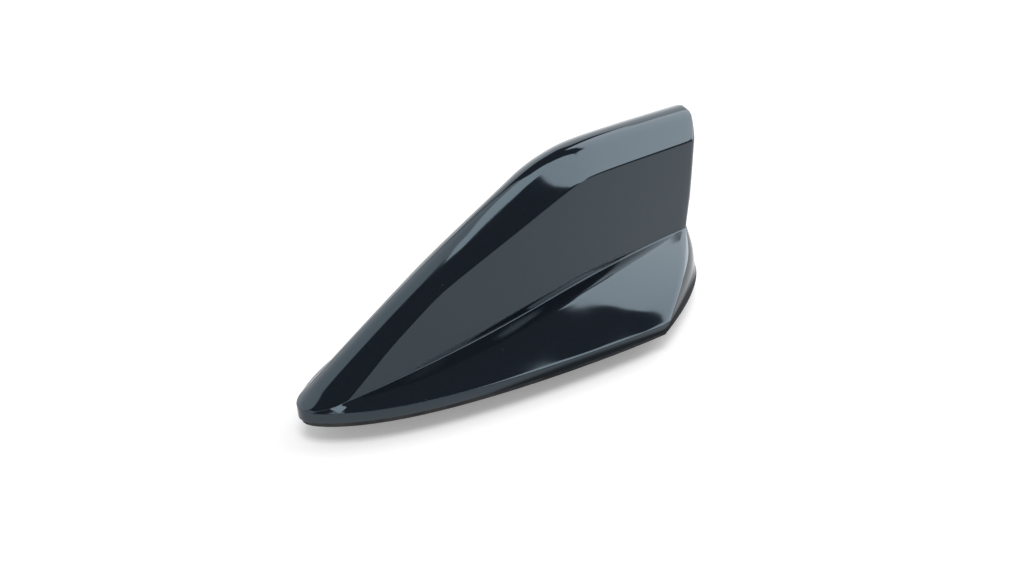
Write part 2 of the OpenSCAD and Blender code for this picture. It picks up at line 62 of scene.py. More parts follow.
class Side(Enum):
    """Which skin of the cover's wall a loft draws."""

    OUTER = "outer"
    INNER = "inner"


def mix(a: float, b: float, s: float) -> float:
    """Returns the value a share s of the way from a to b."""
    return a + (b - a) * s


def mix_points(a: Point, b: Point, s: float) -> Point:
    """Returns the point a share s of the way from a to b."""
    return (mix(a[0], b[0], s), mix(a[1], b[1], s), mix(a[2], b[2], s))


def span(a: Point, b: Point) -> float:
    """Returns the distance between two points."""
    return (Vector(b) - Vector(a)).length


def ease(x: float, low: float, high: float) -> float:
    """Returns 0 below low, 1 above high and a smooth step between them."""
    s = min(1.0, max(0.0, (x - low) / (high - low)))
    return s * s * (3 - 2 * s)


def eased_area(x: float, low: float, high: float) -> float:
    """Returns the area under ease from 0 to x, for a line whose slope sets in between low and high."""
    u = min(1.0, max(0.0, (x - low) / (high - low)))
    return (high - low) * (u**3 - u**4 / 2) + max(0.0, x - high)


def turned(x: float, x0: float, z0: float, s1: float, s2: float, r: float) -> float:
    """Height at x of a line that turns from slope s1 to s2 at (x0, z0).

    Args:
        x: Station.
        x0: Station of the turn.
        z0: Height where the two slopes would meet.
        s1: Slope before the turn.
        s2: Slope after it.
        r: Length over which the turn is rounded.

    Returns:
        The height.
    """
    d = x - x0
    return z0 + (s1 + s2) / 2 * d + (s2 - s1) / 2 * math.sqrt(d * d + r * r)


def larger(a: float, b: float, r: float) -> float:
    """Returns the larger of two values, rounded over r where they cross."""
    return (a + b + math.sqrt((a - b) ** 2 + r * r)) / 2


def nose_round(x: float, r: float) -> float:
    """Returns a quarter circle's growth from 0 to 1 over r."""
    return math.sqrt(max(0.0, 1 - (1 - min(max(x, 0.0) / r, 1.0)) ** 2))


def curve(start: Point, corner: Point, end: Point, n: int) -> list[Point]:
    """Returns n points of the curve that leaves start and reaches end, both in line with the corner."""
    points = []
    for i in range(n):
        s = i / (n - 1)
        p = Vector(start) * (1 - s) ** 2 + Vector(corner) * 2 * s * (1 - s) + Vector(end) * s * s
        points.append((p.x, p.y, p.z))
    return points


def rounded(before: Point, corner: Point, after: Point, r: float, n: int) -> list[Point]:
    """Replaces a corner of a section by a short curve.

    Args:
        before: The section's point before the corner.
        corner: The corner itself.
        after: The point after it.
        r: How far from the corner the curve begins, in millimetres.
        n: Number of points of the curve.

    Returns:
        The curve's points.
    """
    start = mix_points(corner, before, min(0.42, r / max(span(before, corner), 1e-6)))
    end = mix_points(corner, after, min(0.42, r / max(span(after, corner), 1e-6)))
    return curve(start, corner, end, n)


@dataclass
class CoverShape:
    """The fin cover's form: lengths in millimetres from the nose and over the lower edge."""

    length: float = 151.0
    width: float = 67.0
    widest_x: float = 108.0
    spine_z: float = 53.8
    bend_x: float = 85.7
    bend_round: float = 10.5
    spine_bow: float = 1.6
    spine_hw: float = 3.4
    crown_h: float = 1.3
    rim_h: float = 3.0
    wall: float = 2.0
    panel_start_x: float = 9.5
    tail_l: float = 12.6
    panel_turn_x: float = 41.0
    panel_turn_z: float = 25.5
    panel_level_x: float = 92.0
    panel_top_z: float = 45.2
    panel_foot_z: float = 16.7
    panel_foot_hw: float = 11.6
    panel_top_hw: float = 8.3
    groove_r: float = 0.5
    groove_drop: float = 0.4
    edge_r: float = 4.2
    fin_rise: float = 12.0
    fin_back_l: float = 6.2
    crease_lead: float = 2.0
    nose_power: float = 1.3
    nose_slim: float = 0.26
    nose_slim_l: float = 9.0
    tail_power: float = 1.45
    panel_start_h: float = 1.4
    panel_rise_power: float = 1.45
    flare_power: float = 1.66
    skirt_swell: float = 2.0
    row_starts: tuple[float, float, float, float] = (1.2, 0.15, 0.1, 0.06)
    row_tails: tuple[float, float, float] = (8.4, 6.8, 10.4)
    inner_start_x: float = 7.0
    inner_edge_z: float = 2.0
    columns: int = 84
    rear_columns: int = 22

    @property
    def crease_x(self) -> float:
        """Where the rear crease meets the rim."""
        return self.widest_x - self.crease_lead

    @property
    def panel_end_x(self) -> float:
        """Where the panels end."""
        return self.length - self.tail_l

    @property
    def fin_back_x(self) -> float:
        """How far the fin's rear reaches at the panels' foot."""
        return self.length - self.fin_back_l

    @property
    def panel_start_z(self) -> float:
        """Height of the panels' front tip."""
        return self.rim_h + self.panel_start_h

    def outline_hw(self, x: float) -> float:
        """Returns half the width of the cover's outline at station x."""
        if x < self.widest_x:
            v = max(0.0, 1 - x / self.widest_x)
            slim = 1 - self.nose_slim * math.exp(-max(0.0, x) / self.nose_slim_l)
            return self.width / 2 * math.sqrt(max(0.0, 1 - v**self.nose_power)) * slim
        u = (x - self.widest_x) / (self.length - self.widest_x)
        return self.width / 2 * max(0.0, 1 - u**self.tail_power) ** (1 / self.tail_power)

    def spine_edge_z(self, x: float) -> float:
        """Returns the height of the spine's edges."""
        slope = (self.spine_z - self.rim_h - 0.5) / self.bend_x
        w = min(1.0, max(0.0, x / self.bend_x))
        z = turned(x, self.bend_x, self.spine_z, slope, -0.008, self.bend_round)
        return z + 4 * self.spine_bow * w * (1 - w)

    def spine_edge_hw(self, x: float) -> float:
        """Returns half the width of the spine's flat."""
        return turned(x, self.bend_x, self.spine_hw, 0, 0.008, 20) * nose_round(x, 3)

    def spine_rise(self, x: float, u: float) -> float:
        """Returns the crown's rise over the spine's edges.

        Args:
            x: Station.
            u: 0 in the middle of the spine and 1 at its edge.

        Returns:
            The rise, which is lower at the nose.
        """
        return self.crown_h * min(1.0, 0.35 + x / 8) * (1 - u * u)

    def panel_foot(self, x: float) -> float:
        """Returns the height of the panels' lower edge."""
        u = (x - self.panel_start_x) / (self.panel_end_x - self.panel_start_x)
        if u < 0:
            return mix(self.rim_h + 0.25, self.panel_start_z, x / self.panel_start_x)
        rise = math.sin(math.pi / 2 * min(u, 1.0)) ** self.panel_rise_power
        return self.panel_start_z + (self.panel_foot_z - self.panel_start_z) * rise

    def panel_foot_half(self, x: float) -> float:
        """Returns half the width over the panels at their lower edge."""
        return turned(x, 64, self.panel_foot_hw, 0.085, -0.008, 15) * nose_round(x, 9)

    def panel_top(self, x: float) -> float:
        """Returns the height of the panels' upper edge."""
        s1 = (self.panel_turn_z - self.panel_start_z) / (self.panel_turn_x - self.panel_start_x)
        s2 = (self.panel_top_z - self.panel_turn_z) / (self.panel_level_x - self.panel_turn_x)
        if x < (self.panel_turn_x + self.panel_level_x) / 2:
            z = turned(x, self.panel_turn_x, self.panel_turn_z, s1 + 0.02, s2, 4)
        else:
            z = turned(x, self.panel_level_x, self.panel_top_z, s2, 0, 4)
        return larger(z, self.panel_foot(x) + 0.1, 0.2)

    def panel_top_half(self, x: float) -> float:
        """Returns half the width over the panels at their upper edge."""
        even = self.panel_foot_half(x) - 0.2 * (self.panel_top(x) - self.panel_foot(x))
        own = turned(x, 70, self.panel_top_hw, 0.045, 0, 12)
        return mix(even, own, ease(x, self.panel_start_x + 8, self.panel_start_x + 22))

    def back_x(self, z: float) -> float:
        """Returns how far back the rear end reaches at height z."""
        if z < self.panel_foot_z:
            flare = (1 - max(0.0, z) / self.panel_foot_z) ** self.flare_power
            return mix(self.length, self.fin_back_x, 1 - flare)
        top = 0.045 * max(0.0, z - self.spine_z + 6) ** 2
        return self.fin_back_x + 0.035 * (z - self.panel_foot_z) - top

    def skirt_fall(self, s: float, t: float) -> float:
        """Returns how high the skirt is at a share of its width, as a share of its own height.

        Args:
            s: Share of the width, from the panel's foot out.
            t: Share of the way from the nose to the rear crease.

        Returns:
            1 at the panel's foot and 0 at the lower edge: a ledge first, then a straight slope, then a
            rounded shoulder.
        """
        ledge = mix(0.34, 0.05, ease(t, 0.55, 1.0))
        flat = mix(0.85, 0.35, ease(t, 0.5, 0.72) * (1 - 0.9 * ease(t, 0.85, 1.0)))
        shoulder = mix(0.35, 0.6, ease(t, 0.78, 0.92))
        lean = mix((1 - flat * ledge) / (1 - ledge), 0.92, ease(t, 0.5, 0.78))
        end = lean + (1 - flat - (lean - flat) * (1 - ledge)) / (0.5 - shoulder / 2)
        drop = flat * s + (lean - flat) * eased_area(s, 0.7 * ledge, 1.3 * ledge)
        return 1 - drop - (end - lean) * eased_area(s, shoulder, 1.0)

    def section(self, t: float) -> list[Point]:
        """Draws one side's section, from the crown down to the lower edge.

        Args:
            t: Share of the way from the nose to the rear crease.

        Returns:
            The section's points, each corner rounded as it is on the moulding.
        """
        q = t**1.6
        x0, x1, x2 = (mix(low, self.length - tail, q) for low, tail in zip(self.row_starts, self.row_tails))
        x3, x4 = mix(self.row_starts[3], self.panel_end_x, q), mix(0.0, self.crease_x, q)
        crown = (x0, 0.0, self.spine_edge_z(x0) + self.spine_rise(x0, 0.0))
        a = (x1, self.spine_edge_hw(x1), self.spine_edge_z(x1))
        b = (x2, self.panel_top_half(x2), self.panel_top(x2))
        a = mix_points(a, b, 0.1 * ease(x1, 92.0, 112.0))
        c = (x3, self.panel_foot_half(x3), self.panel_foot(x3) - self.groove_drop * ease(x3, 8.0, 60.0))
        d = (x4, self.outline_hw(x4), self.rim_h)
        e = (x4, self.outline_hw(x4), 0.0)
        bow = 0.1 * min(1.0, x1 / 10)
        edge_r = mix(0.7, self.edge_r, ease(x1, 38.0, 68.0) * (1 - ease(x1, 64.0, 80.0)))
        top_s = min(0.45, edge_r / max(span(a, b), 1.0))
        groove_r = self.groove_r * ease(x3, 0.0, 60.0)
        foot_s = min(0.22, groove_r / max(span(c, d), 1.0))
        swell = self.skirt_swell * ease(t, 0.76, 1.0)

        def cap(u: float) -> Point:
            x = mix(x0, x1, u)
            low = self.spine_edge_z(x1) - a[2]
            return (x, a[1] * u, self.spine_edge_z(x) + self.spine_rise(x, u) - low * u * u)

        def bevel(s: float) -> Point:
            p = mix_points(a, b, s)
            h = 4 * s * (1 - s)
            return (p[0], p[1] + bow * h, p[2] + 0.15 * h)

        def skirt(s: float) -> Point:
            p = mix_points(c, d, s)
            z = mix(self.rim_h, c[2], self.skirt_fall(s, t))
            return (p[0], p[1] + swell * math.sin(math.pi * s), z)

        cap_u = 1 - min(0.7, edge_r / self.spine_hw)
        points = [crown, cap(0.35 * cap_u), cap(0.7 * cap_u), cap(0.92 * cap_u)]
        points += curve(cap(cap_u), a, bevel(top_s), 7)
        points += [bevel(mix(top_s, 0.8, s)) for s in (0.04, 0.35, 0.7, 0.97)]
        points += rounded(bevel(0.8), b, mix_points(b, c, 0.15), 0.6, 4)
        points += [mix_points(b, c, s) for s in (0.07, 0.35, 0.65, 0.94)]
        panel_s = 1 - min(0.2, groove_r / max(span(b, c), 1.0))
        points += curve(mix_points(b, c, panel_s), c, skirt(foot_s), 7)
        points += [skirt(foot_s + 0.015)] + [skirt(mix(foot_s, 0.97, s / 12)) for s in range(1, 13)]
        points += rounded(skirt(0.98), d, e, mix(0.12, 0.35, ease(x4, 0.0, 60.0)), 4)
        points += [mix_points(d, e, 0.5)]
        points += rounded(mix_points(d, e, 0.8), e, (e[0], e[1] - 1.0, 0.0), 0.35, 4)
        return points

    def inner_section(self, t: float) -> list[Point]:
        """Draws the same side's section a wall's thickness inside, from the lower edge up."""
        w, start, edge = self.wall, self.inner_start_x, self.inner_edge_z
        q = t**1.4
        x1, x2 = mix(start + 1, self.length - 8.8 - w, q), mix(start + 0.4, self.length - 10.8 - w, q)
        x3, x4 = mix(start + 0.2, self.panel_end_x - w * 0.9, q), mix(start, self.crease_x - w, q)
        g = nose_round(x1 - start, 4)
        a = (x1, max(0.8, self.spine_edge_hw(x1) - 0.6 * w) * g, self.spine_edge_z(x1) - 1.3 * w)
        b = (x2, (self.panel_top_half(x2) - 1.15 * w) * g, min(self.panel_top(x2) - 0.3 * w, a[2] - 0.5))
        c = (x3, (self.panel_foot_half(x3) - 1.1 * w) * g, max(self.panel_foot(x3) - w, edge + 0.3))
        hw = (self.outline_hw(x4) - w * (1 + 3 / (3 + x4))) * nose_round(x4 - start, 4)
        d = (x4, hw, edge)
        swell = self.skirt_swell * ease(t, 0.76, 1.0)

        def skirt(s: float) -> Point:
            p = mix_points(c, d, s)
            return (p[0], p[1] + swell * math.sin(math.pi * s), mix(edge, c[2], self.skirt_fall(s, t)))

        crown = (x1, 0.0, self.spine_edge_z(x1) + self.spine_rise(x1, 0.0) - 1.25 * w)
        points = [crown, a, mix_points(a, b, 0.5), b, mix_points(b, c, 0.5), c]
        points += [skirt(s) for s in (0.15, 0.3, 0.45, 0.6, 0.75, 0.88)] + [d, (x4, hw, 0.0)]
        return points[::-1]

    def round_rear(self, last: Point, tip: float, low: float, high: float) -> list[Point]:
        """Carries one row from the rear crease to the middle of the rear end, at its own height.

        Args:
            last: The row's last point on the side.
            tip: How far back the row reaches.
            low: 0 at the panels' foot and over it, 1 at the rim.
            high: 0 at the panels' foot and under it, 1 on the fin.

        Returns:
            The row's points behind the crease.
        """
        turn = math.radians(mix(mix(22.0, 20.0, low), 2.0, high))
        hold = mix(mix(0.16, 0.53, low**0.6), 0.6, high) * (tip - last[0])
        first = (last[0] + hold * math.cos(turn), last[1] - hold * math.sin(turn))
        second = (tip, last[1] * mix(mix(0.64, 0.39, low), 0.5, high))
        points = []
        for i in range(1, self.rear_columns + 1):
            s = i / self.rear_columns
            a, b, c, d = (1 - s) ** 3, 3 * s * (1 - s) ** 2, 3 * s * s * (1 - s), s**3
            x = a * last[0] + b * first[0] + (c + d) * tip
            w = a * last[1] + b * first[1] + c * second[1]
            points.append((x, max(0.0, w), last[2]))
        return points

    def rings(self, side: Side) -> list[list[Point]]:
        """Carries every row of the sections round the rear end.

        Args:
            side: The skin that is drawn.

        Returns:
            One closed ring for each row, left side from the nose to the tail and back along the right.
        """
        draw = self.section if side is Side.OUTER else self.inner_section
        inset = 0.0 if side is Side.OUTER else self.wall
        columns = [draw(i / self.columns) for i in range(self.columns + 1)]
        foot = self.panel_foot_z - inset
        rings = []
        for r in range(len(columns[0])):
            row = [column[r] for column in columns]
            row[0] = (row[0][0], 0.0, row[0][2])
            z = row[-1][2]
            low, high = ease(foot - z, 0.0, foot - self.rim_h), ease(z - foot, 0.0, self.fin_rise)
            row += self.round_rear(row[-1], self.back_x(z) - inset, low, high)
            rings.append([(x, -y, z) for x, y, z in row] + row[-2:0:-1])
        return rings


class MeshWork:
    """Small steps that several pieces share."""

    @staticmethod
    def place(x: float, y: float, z: float) -> Vector:
        """Turns millimetres from the nose and the lower edge into the part's frame in metres."""
        return Vector(((x - HALF_LENGTH) * MM, y * MM, (z + EDGE_HEIGHT) * MM))

    @staticmethod
    def loft(rings: Sequence[Sequence[Point]]) -> bmesh.types.BMesh:
        """Extrudes a circle from ring to ring.

        Args:
            rings: Closed rings with the same number of points each.

        Returns:
            The open or folded tube through all of them.
        """
        bm = bmesh.new()
        loop = bmesh.ops.create_circle(bm, segments=len(rings[0]), radius=1.0)["verts"]
        for v, p in zip(loop, rings[0]):
            v.co = MeshWork.place(*p)
        for ring in rings[1:]:
            edges = [bm.edges.get((loop[i - 1], loop[i])) for i in range(len(loop))]
            made = bmesh.ops.extrude_edge_only(bm, edges=edges)["geom"]
            fresh = {g for g in made if isinstance(g, bmesh.types.BMVert)}
            loop = [next(e.other_vert(v) for e in v.link_edges if e.other_vert(v) in fresh) for v in loop]
            for v, p in zip(loop, ring):
                v.co = MeshWork.place(*p)
        return bm

    @staticmethod
    def finish(bm: bmesh.types.BMesh, name: str, smooth: bool = True) -> bpy.types.Object:
        """Merges doubles, turns the faces outwards and makes the object.

        Args:
            bm: The finished shape, which is freed.
            name: The piece's name.
            smooth: Whether its faces are shaded smooth.

        Returns:
            The new object, at the origin.
        """
        bmesh.ops.remove_doubles(bm, verts=bm.verts, dist=2e-6)
        bmesh.ops.recalc_face_normals(bm, faces=bm.faces)
        if bm.calc_volume(signed=True) < 0:
            bmesh.ops.reverse_faces(bm, faces=bm.faces)
        for f in bm.faces:
            f.smooth = smooth
        mesh = bpy.data.meshes.new(name)
        bm.to_mesh(mesh)
        bm.free()
        obj = bpy.data.objects.new(name, mesh)
        bpy.context.scene.collection.objects.link(obj)
        LOG.info("%s: %d faces", name, len(mesh.polygons))
        return obj


class Nodes:
    """A material's node tree with short calls for the nodes that the finishes use."""

    def __init__(self, tree: bpy.types.NodeTree) -> None:
        """Clears the tree."""
        self.tree = tree
        tree.nodes.clear()

    def add(self, kind: str, **values: object) -> bpy.types.Node:
        """Adds a node and sets its fields and its sockets.

        Args:
            kind: The node's type name without its first part.
            **values: Fields by name, or sockets by name with spaces as underscores.

        Returns:
            The node.
        """
        node = self.tree.nodes.new("ShaderNode" + kind)
        for key, value in values.items():
            if hasattr(node, key) and key not in node.inputs:
                setattr(node, key, value)
                continue
            name = key.replace("_", " ")
            socket = node.inputs[int(key[1:])] if key[0] == "i" and key[1:].isdigit() else node.inputs[name]
            if isinstance(value, bpy.types.NodeSocket):
                self.tree.links.new(value, socket)
            else:
                socket.default_value = value
        return node

    def math(self, operation: str, a: object, b: object = 0.0, c: object = 0.0) -> bpy.types.NodeSocket:
        """Adds a Math node and returns its value."""
        return self.add("Math", operation=operation, i0=a, i1=b, i2=c).outputs[0]

    def step(self, value: object, low: float, high: float, to_low: float = 0.0,
             to_high: float = 1.0) -> bpy.types.NodeSocket:
        """Adds a smooth step of a value between two limits and returns it."""
        node = self.add("MapRange", interpolation_type="SMOOTHSTEP", i0=value, i1=low, i2=high,
                        i3=to_low, i4=to_high)
        return node.outputs[0]

    def blend(self, share: object, a: object, b: object) -> bpy.types.NodeSocket:
        """Adds a colour Mix node and returns its colour."""
        node = self.add("Mix", data_type="RGBA", i0=share, i6=a, i7=b)
        return node.outputs[2]

    def coordinates(self) -> bpy.types.NodeSocket:
        """Returns the piece's own coordinates in metres."""
        return self.add("TexCoord").outputs["Object"]

    def product(self, *factors: object) -> bpy.types.NodeSocket:
        """Multiplies two or more values and returns the result."""
        result = factors[0]
        for factor in factors[1:]:
            result = self.math("MULTIPLY", result, factor)
        return result

    def line(self, slope: float, x: object, start: object) -> bpy.types.NodeSocket:
        """Returns slope * x + start."""
        return self.math("MULTIPLY_ADD", x, slope, start)

    def noise(self, scale: float, detail: float) -> bpy.types.NodeSocket:
        """Adds a noise texture on the piece's own coordinates and returns its value."""
        node = self.add("TexNoise", Vector=self.coordinates(), Scale=scale, Detail=detail)
        return node.outputs[0]

    def surface(self, **values: object) -> bpy.types.Node:
        """Adds the shader and links it to the output."""
        shader = self.add("BsdfPrincipled", **values)
        self.add("OutputMaterial", Surface=shader.outputs[0])
        return shader


def shade(r: float, g: float, b: float) -> Colour:
    """Turns a colour as a screen shows it, 0 to 255, into the shader's values."""
    def one(v: float) -> float:
        v /= 255
        return v / 12.92 if v <= 0.04045 else ((v + 0.055) / 1.055) ** 2.4

    return (one(r), one(g), one(b), 1.0)


@dataclass(frozen=True)
class Finish:
    """A finish that the pieces share: its material's name and how rough it is."""

    name: str = "plain"
    roughness: float = 0.5

    def nodes(self) -> Nodes:
        """Makes the material and returns its empty tree."""
        material = bpy.data.materials.new(self.name)
        material.use_nodes = True
        return Nodes(material.node_tree)

    def build(self, n: Nodes) -> None:
        """Draws the finish. Each kind of finish has its own."""
        n.surface(Roughness=self.roughness)

    def material(self) -> bpy.types.Material:
        """Returns the material, made on first use."""
        found = bpy.data.materials.get(self.name)
        if found is None:
            self.build(self.nodes())
            found = bpy.data.materials[self.name]
        return found


@dataclass(frozen=True)
class GlossCover(Finish):
    """Gloss black moulding with a blue cast, fine flake, a soft unevenness and a little dust."""

    name: str = "gloss_cover"
    roughness: float = 0.06
    base: Colour = (0.006, 0.0082, 0.0115, 1.0)
    flake: Colour = (0.016, 0.021, 0.028, 1.0)
    flake_scale: float = 9000.0
    dust: Colour = (0.1, 0.11, 0.1, 1.0)
    dust_scale: float = 520.0
    dust_cover: float = 0.45
    tint: Colour = (0.7, 0.88, 1.0, 1.0)
    refraction: float = 1.62

    def build(self, n: Nodes) -> None:
        """Draws the lacquer, its flake and its wear."""
        where = n.coordinates()
        flake = n.add("TexVoronoi", Vector=where, Scale=self.flake_scale).outputs["Color"]
        spark = n.add("SeparateXYZ", i0=flake).outputs[0]
        tone = n.blend(n.step(spark, 0.7, 1.0, 0.0, 0.5), self.base, self.flake)
        dust = n.add("TexVoronoi", Vector=where, Scale=self.dust_scale)
        chance = n.add("SeparateXYZ", i0=dust.outputs["Color"]).outputs[0]
        grain = n.step(dust.outputs["Distance"], 0.05, 0.11, self.dust_cover, 0.0)
        tone = n.blend(n.product(grain, n.step(chance, 0.9, 0.93)), tone, self.dust)
        cloud = n.noise(60.0, 4.0)
        rough = n.step(cloud, 0.35, 0.75, self.roughness * 0.7, self.roughness * 1.5)
        ripple = n.noise(140.0, 2.0)
        bump = n.add("Bump", Strength=0.02, Distance=0.0002, Height=ripple).outputs[0]
        n.surface(Base_Color=tone, Roughness=rough, Normal=bump, IOR=self.refraction,
                  Specular_Tint=self.tint)


@dataclass(frozen=True)
class Grained(Finish):
    """A finish with a tone that drifts between two colours and a fine grain."""

    dark: Colour = (0.02, 0.02, 0.02, 1.0)
    light: Colour = (0.04, 0.04, 0.04, 1.0)
    drift: float = 90.0
    grain: float = 2500.0
    relief: float = 0.2
    metallic: float = 0.0

    def build(self, n: Nodes) -> None:
        """Draws the two tones, the grain and the uneven gloss."""
        cloud = n.noise(self.drift, 5.0)
        tone = n.blend(n.step(cloud, 0.35, 0.65), self.dark, self.light)
        patches = n.noise(self.drift * 3, 3.0)
        rough = n.step(patches, 0.3, 0.7, self.roughness * 0.8, self.roughness * 1.15)
        grain = n.noise(self.grain, 4.0)
        bump = n.add("Bump", Strength=self.relief, Distance=0.0001, Height=grain).outputs[0]
        n.surface(Base_Color=tone, Roughness=rough, Normal=bump, Metallic=self.metallic)


RUBBER = Grained("rubber_pad", 0.75, shade(28, 29, 31), shade(44, 45, 47), 60.0, 3000.0, 0.3)
FOAM = Grained("open_foam", 0.95, shade(38, 39, 41), shade(66, 67, 70), 900.0, 1600.0, 0.9)
ALLOY = Grained("cast_alloy", 0.48, shade(128, 131, 135), shade(168, 171, 174), 70.0, 2200.0, 0.45, 1.0)
BRASS = Grained("brass_insert", 0.3, shade(176, 140, 66), shade(214, 180, 100), 200.0, 3000.0, 0.15, 1.0)
IVORY = Grained("ivory_plastic", 0.45, shade(208, 204, 188), shade(226, 222, 208), 80.0, 2600.0, 0.1)
CONTACT = Grained("plated_contact", 0.22, shade(206, 172, 92), shade(232, 202, 128), 260.0, 3000.0, 0.05, 1.0)
BOARD = Grained("board_resist", 0.35, shade(16, 74, 44), shade(28, 98, 60), 300.0, 2400.0, 0.12)
CERAMIC = Grained("patch_ceramic", 0.55, shade(186, 176, 150), shade(206, 197, 172), 120.0, 2800.0, 0.1)
TAPE = Grained("white_tape", 0.6, shade(222, 218, 204), shade(236, 233, 222), 90.0, 2000.0, 0.1)
TINNED = Grained("tinned_metal", 0.3, shade(176, 180, 184), shade(208, 211, 214), 160.0, 2600.0, 0.12, 1.0)
CHIP = Grained("chip_plastic", 0.55, shade(30, 31, 33), shade(46, 47, 49), 400.0, 4000.0, 0.2)
SHEET = Grained("sheet_metal", 0.34, shade(180, 178, 170), shade(212, 210, 202), 120.0, 2400.0, 0.12, 1.0)
BLACK = Grained("black_plastic", 0.5, shade(34, 35, 37), shade(48, 49, 51), 90.0, 2800.0, 0.2)
COPPER = Grained("copper_wire", 0.28, shade(170, 92, 44), shade(206, 122, 66), 240.0, 3000.0, 0.05, 1.0)
STEEL = Grained("screw_steel", 0.32, shade(150, 152, 156), shade(196, 198, 200), 200.0, 3000.0, 0.15, 1.0)

DRESS: dict[str, Grained] = {
    "seal_pad": RUBBER, "foot_seal": FOAM, "base_plate": ALLOY, "fixing_insert": BRASS,
    "socket_block": IVORY, "socket_shells": CONTACT, "socket_pins": CONTACT, "main_board": BOARD,
    "gps_patch": CERAMIC, "patch_tape": TAPE, "patch_feed_pin": CONTACT, "amplifier_shield": TINNED,
    "board_components": CHIP, "phone_blade": SHEET, "antenna_carrier": BLACK, "coil_former": IVORY,
    "radio_coil": COPPER, "top_load_plate": SHEET, "foam_strip": FOAM, "board_screws": STEEL,
    "cover_screws": STEEL,
}


@dataclass
class FinCover:
    """The moulded cover, a hollow shell."""

    shape: CoverShape = field(default_factory=CoverShape)

    def build(self) -> bpy.types.Object:
        """Lofts the outer skin, turns in under the edge and lofts the inner skin.

        Returns:
            The cover, which stands for its CAD node.
        """
        rings = self.shape.rings(Side.OUTER) + self.shape.rings(Side.INNER)
        cover = MeshWork.finish(MeshWork.loft(rings), "cover_shell")
        cover.data.materials.append(GlossCover().material())
        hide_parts("fin_cover")
        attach(cover, "root")
        return cover


